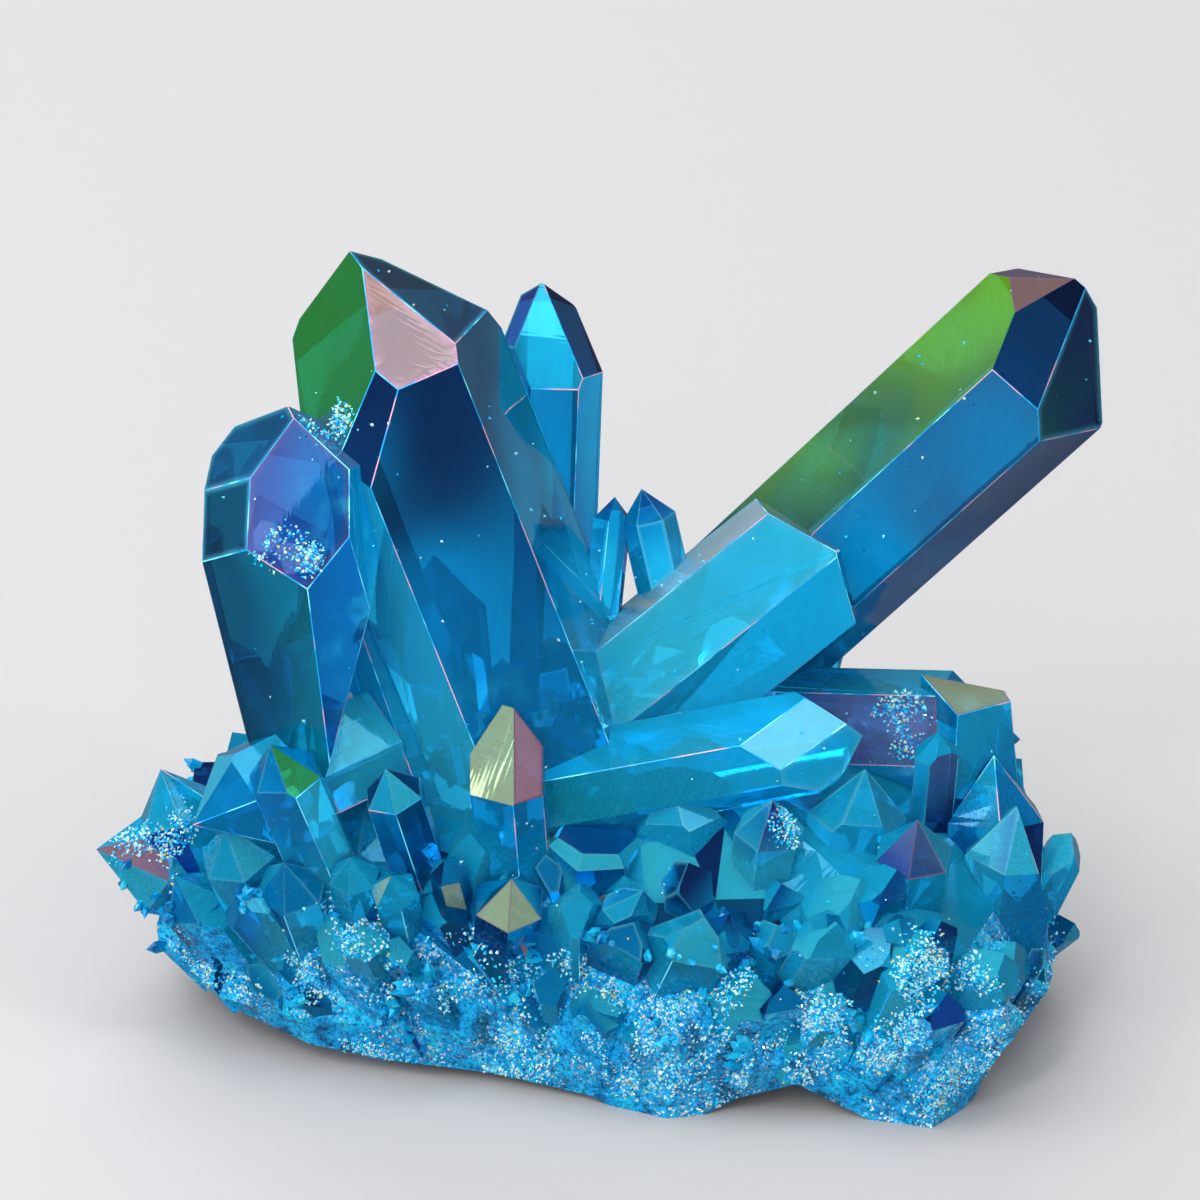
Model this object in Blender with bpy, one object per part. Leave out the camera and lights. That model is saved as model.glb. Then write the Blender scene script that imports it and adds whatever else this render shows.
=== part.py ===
"""A cluster of rock crystal that grew as one piece.

Each crystal is cut out of a block by its faces, as a six-sided prism under six rhomb faces, at the
angles that quartz always has and at the distances that this crystal has. The crystals and the lumpy
foot that they grew on are then joined by one Boolean union into one solid.

The crystals are laid out as the specimen is displayed: millimetres to the right, up and back, as
they look from VIEW_DISTANCE away and VIEW_TILT above the level. Blender's own frame is metres, with
X to the right, Y to the back, Z up and the surface that the cluster rests on at Z = 0.
"""

import math

import bmesh
import bpy
from mathutils import Matrix, Vector, noise

MM = 0.001

# How the specimen is displayed, in millimetres and degrees.
VIEW_DISTANCE = 500.0
VIEW_TILT = 25.0
VIEW_HEIGHT = 31.0

# Quartz: a rhomb face slopes this much from square to the crystal's length.
RHOMB_SLOPE = 51.8
FACES = 6
TURN = 360.0 / FACES

# Which of the many uneven clusters of these sizes this is.
SEED = 5

# The block that a crystal is cut from, and how deep its root goes below the foot that is given.
BLOCK = 120.0
ROOT = 4.0
# A corner this near a cut, in metres, lies on it.
ON_PLANE = 1e-8

# The foot: its outline at its widest, anticlockwise from the left end, and how far the rim is
# lifted off the surface there (X, Y, lift).
OUTLINE = (
    (-33.0, -2.0, 4.5),
    (-31.5, -8.0, 3.5),
    (-28.0, -12.5, 2.8),
    (-22.0, -15.5, 2.0),
    (-15.0, -17.5, 1.6),
    (-8.0, -19.0, 1.2),
    (-1.0, -22.0, 0.5),
    (5.0, -24.0, -1.6),
    (10.5, -23.6, 0.8),
    (15.5, -23.4, 2.4),
    (20.5, -24.4, 0.6),
    (25.0, -25.6, -1.8),
    (29.0, -22.0, 0.4),
    (31.5, -15.0, 1.5),
    (34.0, -7.0, 2.5),
    (33.5, 2.0, 2.5),
    (30.5, 9.0, 2.0),
    (24.5, 14.5, 1.2),
    (16.5, 18.0, 0.6),
    (7.5, 20.0, 1.5),
    (-2.5, 20.0, 1.8),
    (-12.0, 18.0, 0.8),
    (-20.5, 14.0, 0.5),
    (-27.5, 8.5, 1.5),
    (-31.5, 3.5, 3.0),
)
CENTRE = (0.0, -2.0)

# Rings of the foot from the rim to the crown: share of the outline, and height.
RINGS = ((1.0, 4.5), (0.99, 8.0), (0.93, 12.0), (0.81, 16.0), (0.62, 19.0), (0.36, 21.0))
CROWN = 21.5
# Rings of the hollow underside, from the rim inwards: share of the outline, and height over the lift.
HOLLOW = ((0.96, 0.0), (0.74, 0.8), (0.40, 1.6))
VAULT = 3.0
LUMP = 1.1
LUMP_SCALE = 0.22

# Rows of small points round the foot: share and height on it, where the row starts and ends in
# turns from the left end, how many, half width, length and rise over level.
POINT_ROWS = (
    (0.99, 4.2, 0.00, 1.00, 36, 1.5, 5.2, 1.7),
    (0.98, 7.0, 0.00, 1.00, 33, 1.9, 6.2, 1.9),
    (0.93, 10.8, 0.02, 0.48, 16, 2.0, 5.8, 2.4),
    (0.80, 13.6, 0.04, 0.48, 11, 2.1, 4.8, 2.6),
    (0.93, 9.8, 0.60, 0.96, 16, 2.2, 7.0, 1.8),
    (0.80, 12.0, 0.62, 0.93, 13, 2.5, 7.4, 1.7),
    (0.60, 14.6, 0.68, 0.89, 8, 2.7, 8.6, 2.2),
)
POINT_SETBACK = 1.4
POINT_ROOT = 1.2
# How much a point may differ from its row: along it, in lean, in length, in width and face by face.
POINT_DRIFT, POINT_LEAN, POINT_LENGTH, POINT_WIDTH, POINT_UNEVEN = 0.5, 0.9, 0.7, 0.6, 0.9
# How far apart two points, two rows and two faces are in the noise that they differ by.
NOISE_POINT, NOISE_ROW, NOISE_FACE = 1.7, 5.3, 0.7

# The pads under the foot that it stands on, beside its two front feet: X, Y, radius.
PADS = ((-16.0, -9.0, 4.6), (-17.5, 6.0, 4.0), (15.0, 11.5, 4.8))
PAD_SIDES = 8
PAD_HEIGHT = 5.0
PAD_SPREAD = 1.7
PAD_UNEVEN = 0.4


def seen(right, up, back):
    """Where a point stands that is seen right and up of the view's middle, back millimetres behind it."""
    nearer = (VIEW_DISTANCE + back) / VIEW_DISTANCE
    return turned(right * nearer, up * nearer, back) + Vector((0.0, 0.0, VIEW_HEIGHT))


def turned(right, up, back):
    """A direction of the view in the frame that the cluster stands in."""
    tilt = math.radians(VIEW_TILT)
    return Vector(
        (
            right,
            up * math.sin(tilt) + back * math.cos(tilt),
            up * math.cos(tilt) - back * math.sin(tilt),
        )
    )


def facing(yaw, pitch):
    """The direction of a face that is turned yaw degrees to the right of the viewer and pitch degrees up."""
    yaw, pitch = math.radians(yaw), math.radians(pitch)
    return turned(math.sin(yaw) * math.cos(pitch), math.sin(pitch), -math.cos(yaw) * math.cos(pitch))


def cut_block(name, centre, planes):
    """A block cut by planes, each given as its outward direction and a distance from centre, in millimetres."""
    mesh = bmesh.new()
    bmesh.ops.create_cube(mesh, size=BLOCK * MM)
    bmesh.ops.translate(mesh, vec=centre * MM, verts=mesh.verts)
    for outward, distance in planes:
        everything = mesh.verts[:] + mesh.edges[:] + mesh.faces[:]
        bmesh.ops.bisect_plane(
            mesh,
            geom=everything,
            dist=ON_PLANE,
            plane_co=(centre + outward * distance) * MM,
            plane_no=outward,
            clear_outer=True,
        )
        rim = [edge for edge in mesh.edges if edge.is_boundary]
        if rim:
            bmesh.ops.holes_fill(mesh, edges=rim)
    bmesh.ops.recalc_face_normals(mesh, faces=mesh.faces)
    return keep(name, mesh)


def keep(name, mesh):
    """A new object of this mesh, ready to be joined into the cluster."""
    data = bpy.data.meshes.new(name)
    mesh.to_mesh(data)
    mesh.free()
    piece = bpy.data.objects.new(name, data)
    piece.hide_render = True
    piece.display_type = "WIRE"
    bpy.data.collections["grown together"].objects.link(piece)
    return piece


def grow(name, foot, tip, sides, front, roll=0.0, tips=(0.0,) * FACES, cuts=(), root=ROOT):
    """A quartz crystal from foot to tip, both in the frame that the cluster stands in.

    sides: how far its six prism faces lie from its axis, or one distance for all, in turn from the
    one that faces front, going right; roll turns them. tips: how far past the tip, along the axis,
    each rhomb face would meet the axis. cuts: further faces, as direction and distance from foot.
    """
    axis = (tip - foot).normalized()
    front = (front - front.dot(axis) * axis).normalized()
    across = axis.cross(front)
    if isinstance(sides, (int, float)):
        sides = (sides,) * FACES
    slope = math.radians(RHOMB_SLOPE)
    length = (tip - foot).length
    planes = [(-axis, root)]
    for face in range(FACES):
        angle = math.radians(roll + TURN * face)
        outward = front * math.cos(angle) + across * math.sin(angle)
        planes.append((outward, sides[face]))
        rhomb = outward * math.sin(slope) + axis * math.cos(slope)
        planes.append((rhomb, (length + tips[face]) * math.cos(slope)))
    return cut_block(name, foot, planes + list(cuts))


def crystal(name, foot, tip, sides, roll=0.0, tips=(0.0,) * FACES, cuts=(), root=ROOT):
    """A crystal placed as it is seen: foot and tip as right, up and back, cuts as yaw, pitch and distance."""
    planes = [(facing(yaw, pitch), distance) for yaw, pitch, distance in cuts]
    viewer = turned(0.0, 0.0, -1.0)
    return grow(name, seen(*foot), seen(*tip), sides, viewer, roll, tips, planes, root)


def three_and_three(extra):
    """Rhomb faces as quartz likes them: three large ones, and three between them that start extra higher."""
    return (0.0, extra) * 3


def tall_crystals():
    """The large crystals that stand free of the foot."""
    crystal(
        "main",
        foot=(-6.0, -10.4, 0.0),
        tip=(-20.8, 26.6, -7.6),
        sides=(8.3, 8.0, 11.0, 7.0, 5.1, 8.5),
        roll=12.5,
        tips=(-0.4, 0.5, 2.5, -1.0, 0.4, -3.5),
        cuts=((-22, 5, 18.0),),
        root=16.0,
    )
    crystal(
        "back_upright",
        foot=(-4.1, 7.5, 8.0),
        tip=(-3.6, 21.6, 5.0),
        sides=(3.8, 3.6, 3.4, 3.5, 3.2, 3.3),
        roll=4.5,
        tips=(-0.5, 0.0, 4.0, 4.0, 5.0, 1.5),
        root=26.0,
    )
    crystal(
        "long_leaning",
        foot=(11.9, 0.0, 6.0),
        tip=(36.0, 21.9, -18.6),
        sides=(4.5, 6.0, 7.8, 6.5, 6.4, 3.9),
        roll=10.0,
        tips=(-0.5, -0.6, 2.0, 2.0, 3.2, 2.0),
        root=16.0,
    )
    crystal(
        "blunt_middle",
        foot=(6.0, -3.7, 0.5),
        tip=(22.5, 9.5, -4.5),
        sides=(6.2, 6.0, 6.5, 6.0, 4.6, 5.6),
        roll=40.0,
        tips=(4.0,) * FACES,
        cuts=((79, 62, 12.5), (84, 12, 13.5)),
        root=8.0,
    )


def stout_crystal():
    """The short broad crystal in front of the main one, whose large front facet faces the viewer."""
    front_facet = (-28, 14, 5.9)
    upper_left = (-54, 28, 7.1)
    upper_right = (59, 54, 10.2)
    middle_left = (-51, 11, 5.7)
    middle_right = (71, 6, 7.1)
    lower_left = (-46, -20, 4.8)
    lower_right = (16, -20, 8.0)
    side_left = (-114, -6, 5.8)
    side_right = (98, -13, 5.4)
    top_left = (-98, 39, 10.4)
    top_back = (159, 63, 9.7)
    back = (180, 0, 7.0)
    base = (-10, -55, 13.2)
    faces = (
        front_facet,
        upper_left,
        upper_right,
        middle_left,
        middle_right,
        lower_left,
        lower_right,
        side_left,
        side_right,
        top_left,
        top_back,
        back,
        base,
    )
    planes = [(facing(yaw, pitch), distance) for yaw, pitch, distance in faces]
    cut_block("stout", seen(-22.8, 2.2, -8.0), planes)


def lying_crystals():
    """The crystals that lie across the right half and along the left end."""
    crystal(
        "lying_right",
        foot=(-1.5, -12.7, -6.0),
        tip=(19.5, -8.9, -9.0),
        sides=(3.3, 4.7, 3.5, 3.5, 3.2, 1.6),
        roll=3.0,
        tips=(-2.0, 2.0, 2.0, 2.0, 2.0, 0.0),
        cuts=((14, 28, 7.7), (95, 57, 13.4)),
        root=6.0,
    )
    crystal(
        "lying_back_right",
        foot=(17.0, -10.0, 6.0),
        tip=(31.4, -10.4, 1.0),
        sides=(4.4, 4.6, 4.6, 4.4, 4.4, 4.4),
        roll=-8.0,
        root=8.0,
    )
    gold_top, blue_front, cyan_left = (20, 60, 1.3), (40, -5, 0.8), (-61, 1, 2.9)
    right_end, back, under = (105, 8, 2.6), (180, 0, 2.0), (0, -80, 6.0)
    faces = (gold_top, blue_front, cyan_left, right_end, back, under)
    planes = [(facing(yaw, pitch), distance) for yaw, pitch, distance in faces]
    cut_block("gold_cap", seen(28.4, -9.0, -1.0), planes)
    crystal(
        "lying_left",
        foot=(-19.5, -11.6, -4.0),
        tip=(-30.4, -16.8, -9.0),
        sides=(3.2, 3.6, 3.8, 3.6, 3.6, 3.8),
        roll=24.0,
        root=3.5,
    )
    crystal("between_tall", (-13.4, -11.0, -2.0), (-18.4, 3.0, -3.0), 3.0, 10.0, root=6.0)


def short_points():
    """The points that stand among the large ones, from left to right."""
    crystal("end_lump_low", (-29.0, -20.0, 3.0), (-37.6, -18.6, -1.0), 3.6, 12.0)
    crystal("end_lump_high", (-28.8, -22.0, 2.0), (-32.8, -12.6, -2.0), 2.9, 30.0)
    green_sides = (2.6, 2.5, 2.4, 2.4, 2.5, 2.2)
    crystal("green_tip", (-20.3, -20.5, -5.0), (-24.6, -10.8, -13.5), green_sides, 28.0)
    crystal("dark_blue_tip", (-13.2, -21.0, -5.0), (-16.0, -12.6, -12.5), 2.0, 24.0)
    crystal(
        "upright_front",
        foot=(-6.7, -18.7, -8.0),
        tip=(-7.6, -8.3, -13.2),
        sides=(2.6, 2.9, 2.5, 2.5, 2.5, 1.8),
        roll=24.0,
        tips=(-3.1, 1.0, 3.0, 3.0, -1.0, -4.2),
        root=5.0,
    )
    crystal("behind_gold", (0.5, 2.0, 3.0), (1.1, 7.7, 2.0), 1.3, 20.0, root=8.0)
    crystal("behind_blue", (4.8, 1.0, 3.0), (3.1, 8.3, 1.0), 1.8, 0.0, root=8.0)
    crystal("dark_wedge", (-0.6, -22.5, -6.0), (-0.2, -15.2, -12.0), 3.0, 10.0, cuts=((10, 60, 6.2),))
    crystal("cyan_block", (6.8, -22.0, -5.0), (5.2, -12.6, -9.0), (3.0, 3.4, 3.4, 3.2, 3.4, 2.6), 34.0)
    crystal("rounded_stub", (11.9, -23.6, -6.0), (12.9, -14.9, -13.0), 2.3, 14.0)
    crystal("broad_blue", (18.4, -21.0, -5.0), (19.8, -12.6, -10.0), (2.6, 3.2, 3.2, 3.0, 3.2, 3.2), 8.0)
    crystal("gold_shoulder", (22.8, -24.4, -7.0), (23.7, -16.4, -13.5), 2.6, 22.0)
    crystal("dark_blade", (24.6, -17.0, -2.0), (25.3, -9.8, -7.0), (1.1, 1.6, 1.6, 1.1, 1.6, 1.6), 30.0)
    crystal("right_shoulder", (29.0, -22.0, 1.0), (29.4, -11.6, -2.0), 3.6, 36.0)
    crystal("right_flank", (30.5, -22.0, 6.0), (31.0, -12.2, 3.0), 3.4, 10.0, cuts=((96, 17, 2.9),))
    crystal("right_face", (30.0, -25.0, 0.0), (31.5, -15.0, -5.0), 3.4, 20.0, cuts=((96, 17, 3.1),))


def low_points():
    """The small points and blades low on the front, from left to right."""
    crystal("low_left_end", (-27.5, -25.5, 2.0), (-31.8, -20.5, -4.0), 2.4, 15.0)
    crystal("low_left_tall", (-24.6, -24.0, 0.0), (-28.0, -16.8, -8.0), 2.6, 26.0)
    crystal("low_left_round", (-21.6, -25.0, -2.0), (-23.6, -19.6, -10.0), 2.4, 6.0)
    blade = (1.0, 1.8, 1.8) * 2
    crystal("low_left_blade", (-22.8, -27.0, -2.0), (-27.2, -22.0, -9.0), blade, -20.0)
    crystal("low_slim", (-17.4, -25.0, -4.0), (-18.6, -19.2, -11.0), 1.7, 12.0)
    crystal("low_slim_right", (-14.6, -25.0, -5.0), (-15.6, -20.6, -12.0), 1.6, 40.0)
    crystal("low_twin", (-16.4, -28.0, -5.0), (-18.0, -24.4, -11.0), 1.6, 20.0)
    crystal("yellow_green", (-10.5, -23.5, -6.0), (-11.6, -19.4, -12.0), 1.2, 0.0)
    crystal("yellow_facet", (-7.1, -25.5, -6.0), (-6.6, -20.8, -13.0), 2.4, 34.0)
    crystal("gold_blade", (0.2, -26.0, -8.0), (3.2, -21.7, -14.5), (1.2, 2.0, 2.0, 1.2, 2.0, 2.0), 42.0)
    crystal("low_dark_left", (7.6, -27.0, -9.0), (7.1, -24.4, -14.5), 1.0, 20.0)
    crystal("low_dark_right", (9.4, -27.0, -9.0), (9.7, -23.4, -15.0), 1.5, 46.0)
    crystal("low_fan", (17.6, -27.5, -9.0), (16.9, -23.4, -15.0), 1.9, 16.0)
    crystal("cream_spike", (22.9, -28.0, -9.0), (22.3, -23.8, -15.5), 1.2, 30.0)


def hidden_side():
    """The points on the side away from the view, placed where they stand."""
    back = Vector((0.0, 1.0, 0.0))
    points = (
        ("rear_left", (-11.0, 7.0, 13.0), (-18.0, 18.5, 26.5), 3.4, 12.0),
        ("rear_left_low", (-16.0, 9.0, 9.0), (-24.0, 17.0, 15.0), 2.8, 35.0),
        ("rear_middle", (-1.0, 9.0, 14.0), (-2.5, 21.0, 23.0), 2.7, 40.0),
        ("rear_right", (12.0, 7.0, 13.0), (16.0, 20.0, 22.5), 3.6, -8.0),
        ("rear_right_low", (9.0, 11.0, 9.0), (9.5, 21.5, 15.5), 2.6, 20.0),
        ("rear_far_right", (20.0, 2.0, 11.0), (28.0, 13.0, 15.5), 3.2, 22.0),
        ("rear_far_left", (-21.0, 3.0, 7.0), (-29.5, 10.0, 9.0), 3.0, 50.0),
        ("behind_stout", (-19.0, -5.0, 13.0), (-24.5, 3.0, 26.0), 3.0, 0.0),
        ("beside_main", (-12.0, 0.0, 14.0), (-14.0, 9.0, 31.0), 3.2, 25.0),
    )
    for name, foot_at, tip_at, sides, roll in points:
        grow(name, Vector(foot_at), Vector(tip_at), sides, back, roll)


def ring_point(share, height, position):
    """A point on the foot's ring at this share and height, position going round from 0 to 1."""
    place = (position % 1.0) * len(OUTLINE)
    start = int(place) % len(OUTLINE)
    along = place - int(place)
    first, second = OUTLINE[start], OUTLINE[(start + 1) % len(OUTLINE)]
    x, y = (first[axis] + along * (second[axis] - first[axis]) for axis in (0, 1))
    return Vector((CENTRE[0] + share * (x - CENTRE[0]), CENTRE[1] + share * (y - CENTRE[1]), height))


def small_points():
    """Rows of small points that cover the foot all round, each a little different from the next."""
    for row, (share, height, start, end, count, width, length, rise) in enumerate(POINT_ROWS):
        for number in range(count):
            place = Vector((number * NOISE_POINT, row * NOISE_ROW, 0.0))
            drift, turn, size = noise.noise_vector(place)
            along = (number + 0.5 + POINT_DRIFT * drift) / count
            rim = ring_point(share, height, start + (end - start) * along)
            outward = (rim - Vector((*CENTRE, height))).normalized()
            foot = rim - outward * POINT_SETBACK
            lean = outward + Vector((POINT_LEAN * turn, POINT_LEAN * drift, rise))
            tip = foot + lean.normalized() * length * (1.0 + POINT_LENGTH * size)
            sides = []
            for face in range(FACES):
                uneven = noise.noise_vector(place + Vector((0.0, 0.0, face * NOISE_FACE)))[0]
                sides.append(width * (1.0 + POINT_WIDTH * turn) * (1.0 + POINT_UNEVEN * uneven))
            tips = three_and_three(width / 2)
            grow(f"point_{row}_{number}", foot, tip, sides, outward, TURN * drift, tips, root=POINT_ROOT)


def lumpy(point):
    """A point of the foot moved by the lumps of the stone, in millimetres."""
    return (point + noise.noise_vector(point * LUMP_SCALE) * LUMP) * MM


def foot():
    """The lumpy foot: rings from the hollow underside over the rim to the crown, cut flat where it rests."""
    mesh = bmesh.new()
    count = len(OUTLINE)
    rings = []
    for share, rise in reversed(HOLLOW):
        rings.append([ring_point(share, OUTLINE[i][2] + rise, i / count) for i in range(count)])
    for share, height in RINGS:
        rings.append([ring_point(share, height, i / count) for i in range(count)])
    rows = [[mesh.verts.new(lumpy(point)) for point in ring] for ring in rings]
    for lower, upper in zip(rows, rows[1:]):
        for i in range(count):
            j = (i + 1) % count
            mesh.faces.new((lower[i], lower[j], upper[j], upper[i]))
    vault = mesh.verts.new(lumpy(Vector((*CENTRE, VAULT))))
    crown = mesh.verts.new(lumpy(Vector((*CENTRE, CROWN))))
    for i in range(count):
        j = (i + 1) % count
        mesh.faces.new((rows[0][j], rows[0][i], vault))
        mesh.faces.new((rows[-1][i], rows[-1][j], crown))
    bmesh.ops.triangulate(mesh, faces=mesh.faces)
    bmesh.ops.bisect_plane(
        mesh,
        geom=mesh.verts[:] + mesh.edges[:] + mesh.faces[:],
        dist=ON_PLANE,
        plane_co=(0.0, 0.0, 0.0),
        plane_no=(0.0, 0.0, -1.0),
        clear_outer=True,
    )
    bmesh.ops.holes_fill(mesh, edges=[edge for edge in mesh.edges if edge.is_boundary])
    bmesh.ops.recalc_face_normals(mesh, faces=mesh.faces)
    return keep("foot", mesh)


def pads():
    """The flat-bottomed knobs under the foot."""
    for number, (x, y, radius) in enumerate(PADS):
        mesh = bmesh.new()
        bmesh.ops.create_cone(
            mesh,
            cap_ends=True,
            segments=PAD_SIDES,
            radius1=radius * MM,
            radius2=radius * PAD_SPREAD * MM,
            depth=PAD_HEIGHT * MM,
        )
        for vertex in mesh.verts:
            place = Vector((vertex.co.x / MM, vertex.co.y / MM, number))
            uneven = 1 + PAD_UNEVEN * noise.noise(place)
            vertex.co.x *= uneven
            vertex.co.y *= uneven
        bmesh.ops.translate(mesh, vec=Vector((x, y, PAD_HEIGHT / 2)) * MM, verts=mesh.verts)
        keep(f"pad_{number}", mesh)


def shells(mesh):
    """The faces of each separate shell of the mesh."""
    left = set(mesh.faces)
    while left:
        shell, found = [], [left.pop()]
        while found:
            face = found.pop()
            shell.append(face)
            for edge in face.edges:
                for neighbour in edge.link_faces:
                    if neighbour in left:
                        left.remove(neighbour)
                        found.append(neighbour)
        yield shell


def fill_pockets(whole):
    """Fills the pockets that the crystals close in between them.

    A pocket's shell faces inwards, so its volume is negative.
    """
    mesh = bmesh.new()
    mesh.from_mesh(whole.data)
    pockets = []
    for shell in shells(mesh):
        volume = 0.0
        for face in shell:
            first = face.verts[0].co
            for second, third in zip(face.verts[1:], face.verts[2:]):
                volume += first.dot(second.co.cross(third.co))
        if volume < 0.0:
            pockets += shell
    bmesh.ops.delete(mesh, geom=pockets, context="FACES")
    mesh.to_mesh(whole.data)
    mesh.free()


def aura_material():
    """Blue rock crystal under a thin glossy metal film."""
    material = bpy.data.materials.new("aura quartz")
    material.use_nodes = True
    shader = material.node_tree.nodes["Principled BSDF"]
    shader.inputs["Base Color"].default_value = (0.01, 0.33, 0.55, 1.0)
    shader.inputs["Roughness"].default_value = 0.08
    shader.inputs["Metallic"].default_value = 0.0
    shader.inputs["Coat Weight"].default_value = 1.0
    material.diffuse_color = (0.01, 0.33, 0.55, 1.0)
    return material


def centred(whole):
    """Moves the cluster so that the origin is under the middle of its box."""
    xs, ys = zip(*(vertex.co.xy for vertex in whole.data.vertices))
    middle = Vector((min(xs) + max(xs), min(ys) + max(ys), 0.0)) / 2
    whole.data.transform(Matrix.Translation(-middle))


def cluster():
    """All that grew together, joined into one solid."""
    tall_crystals()
    stout_crystal()
    lying_crystals()
    short_points()
    low_points()
    hidden_side()
    small_points()
    pads()
    whole = foot()
    grown = bpy.data.collections["grown together"]
    grown.objects.unlink(whole)
    bpy.context.scene.collection.objects.link(whole)
    whole.name = "quartz_cluster"
    whole.hide_render = False
    whole.display_type = "TEXTURED"
    whole.data.materials.append(aura_material())
    join = whole.modifiers.new("grown together", "BOOLEAN")
    join.operation = "UNION"
    join.solver = "EXACT"
    join.operand_type = "COLLECTION"
    join.collection = grown
    with bpy.context.temp_override(object=whole, active_object=whole, selected_objects=[whole]):
        bpy.ops.object.modifier_apply(modifier=join.name)
    fill_pockets(whole)
    centred(whole)


for old in list(bpy.data.objects):
    bpy.data.objects.remove(old, do_unlink=True)
noise.seed_set(SEED)
bpy.context.scene.collection.children.link(bpy.data.collections.new("grown together"))
cluster()
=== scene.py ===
# %% [markdown]
# # A cluster of aura quartz
#
# Aura quartz is rock crystal that has been coated, in a vacuum, with a film of metal a few hundred
# atoms thick. The crystal stays clear, and the film makes it blue, with facets that turn green,
# pink or gold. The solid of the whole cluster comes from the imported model. This lesson gives it
# crisp bevelled ridges, a film colour for each facet, and the fine druse that is too small to be solid.

import bisect
import itertools
import math
import random

import bmesh
import bpy
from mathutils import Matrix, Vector, noise
from mathutils.bvhtree import BVHTree


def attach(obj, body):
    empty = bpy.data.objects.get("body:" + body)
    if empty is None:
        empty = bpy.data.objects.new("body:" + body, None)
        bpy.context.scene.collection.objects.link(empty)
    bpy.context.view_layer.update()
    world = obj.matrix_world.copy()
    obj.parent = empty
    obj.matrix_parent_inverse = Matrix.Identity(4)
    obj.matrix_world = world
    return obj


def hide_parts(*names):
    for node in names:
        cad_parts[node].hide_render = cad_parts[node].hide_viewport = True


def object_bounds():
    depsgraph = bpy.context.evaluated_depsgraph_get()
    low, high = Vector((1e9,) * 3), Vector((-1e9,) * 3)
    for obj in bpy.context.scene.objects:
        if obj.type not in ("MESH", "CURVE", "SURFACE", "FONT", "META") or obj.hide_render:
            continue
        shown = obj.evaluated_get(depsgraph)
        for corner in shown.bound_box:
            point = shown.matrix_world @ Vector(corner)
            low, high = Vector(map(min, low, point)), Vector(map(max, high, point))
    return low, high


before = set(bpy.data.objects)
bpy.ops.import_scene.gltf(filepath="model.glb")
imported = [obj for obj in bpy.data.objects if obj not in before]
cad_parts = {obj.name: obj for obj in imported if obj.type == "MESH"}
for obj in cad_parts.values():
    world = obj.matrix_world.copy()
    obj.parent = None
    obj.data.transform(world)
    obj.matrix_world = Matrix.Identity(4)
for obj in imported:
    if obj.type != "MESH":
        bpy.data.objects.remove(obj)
cad_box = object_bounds()
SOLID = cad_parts["quartz_cluster"]
MM = 0.001
low, high = cad_box
print("solid", [round((high[i] - low[i]) / MM, 1) for i in range(3)], "mm")

# %% [markdown]
# ## The view
#
# The cluster is shown from half a metre away and 25 degrees above the level, as a jeweller would
# photograph it. A long lens keeps the crystals from spreading, and a helper turns a place in that
# view, in millimetres right and up of its middle, into a place on the specimen.

# %% Camera and the way it looks
VIEW_DISTANCE = 500.0
VIEW_TILT = math.radians(25.0)
VIEW_MIDDLE = Vector((0.42, 2.24, 31.0))
FRAME_WIDTH = 89.55
SENSOR = 36.0
NEAREST_SEEN = 0.01


def turned(right, up, back):
    """A direction of the view in the frame that the cluster stands in."""
    return Vector(
        (
            right,
            up * math.sin(VIEW_TILT) + back * math.cos(VIEW_TILT),
            up * math.cos(VIEW_TILT) - back * math.sin(VIEW_TILT),
        )
    )


def seen(right, up, back=0.0):
    """The place, in metres, that is seen right and up of the view's middle, and back behind it."""
    nearer = (VIEW_DISTANCE + back) / VIEW_DISTANCE
    return (turned(right * nearer, up * nearer, back) + VIEW_MIDDLE) * MM


EYE = seen(0.0, 0.0, -VIEW_DISTANCE)
bpy.ops.object.camera_add(location=EYE)
camera = bpy.context.object
camera.rotation_euler = (seen(0.0, 0.0) - EYE).to_track_quat("-Z", "Y").to_euler()
camera.data.sensor_width = SENSOR
camera.data.lens = SENSOR * VIEW_DISTANCE / FRAME_WIDTH
camera.data.clip_start = NEAREST_SEEN
bpy.context.scene.camera = camera
print("camera at", [round(value, 4) for value in EYE], "lens", round(camera.data.lens, 1), "mm")

# %% [markdown]
# ## Floor and lights
#
# Coated crystal shows mostly what it mirrors, so the lights are the first material. Wide soft tents
# light it, and one behind shines through the crystals. Mirrored, they and the floor would lay a grey
# veil on every facet. A photographer keeps such glare off with a polarising filter, and here they are
# hidden from glossy rays, so that only narrow strips overhead and two small glints are mirrored.
# The floor is plain and pale, and rises behind in one sweep.

# %% A pale sweep
FLOOR_HALF = 1.2
SWEEP_RADIUS = 0.5
SWEEP_TURN = math.radians(80.0)
SWEEP_STEPS = 16
FLOOR_COLOUR = (0.32, 0.32, 0.33)
FLOOR_ROUGHNESS = 0.6


def plain_material(name, colour, roughness):
    """A plain surface of one colour."""
    material = bpy.data.materials.new(name)
    material.use_nodes = True
    shader = material.node_tree.nodes["Principled BSDF"]
    shader.inputs["Base Color"].default_value = (*colour, 1.0)
    shader.inputs["Roughness"].default_value = roughness
    return material


def select_only(obj):
    """Deselects everything else, so that an operator works on this object alone."""
    bpy.ops.object.select_all(action="DESELECT")
    obj.select_set(True)
    bpy.context.view_layer.objects.active = obj


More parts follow.
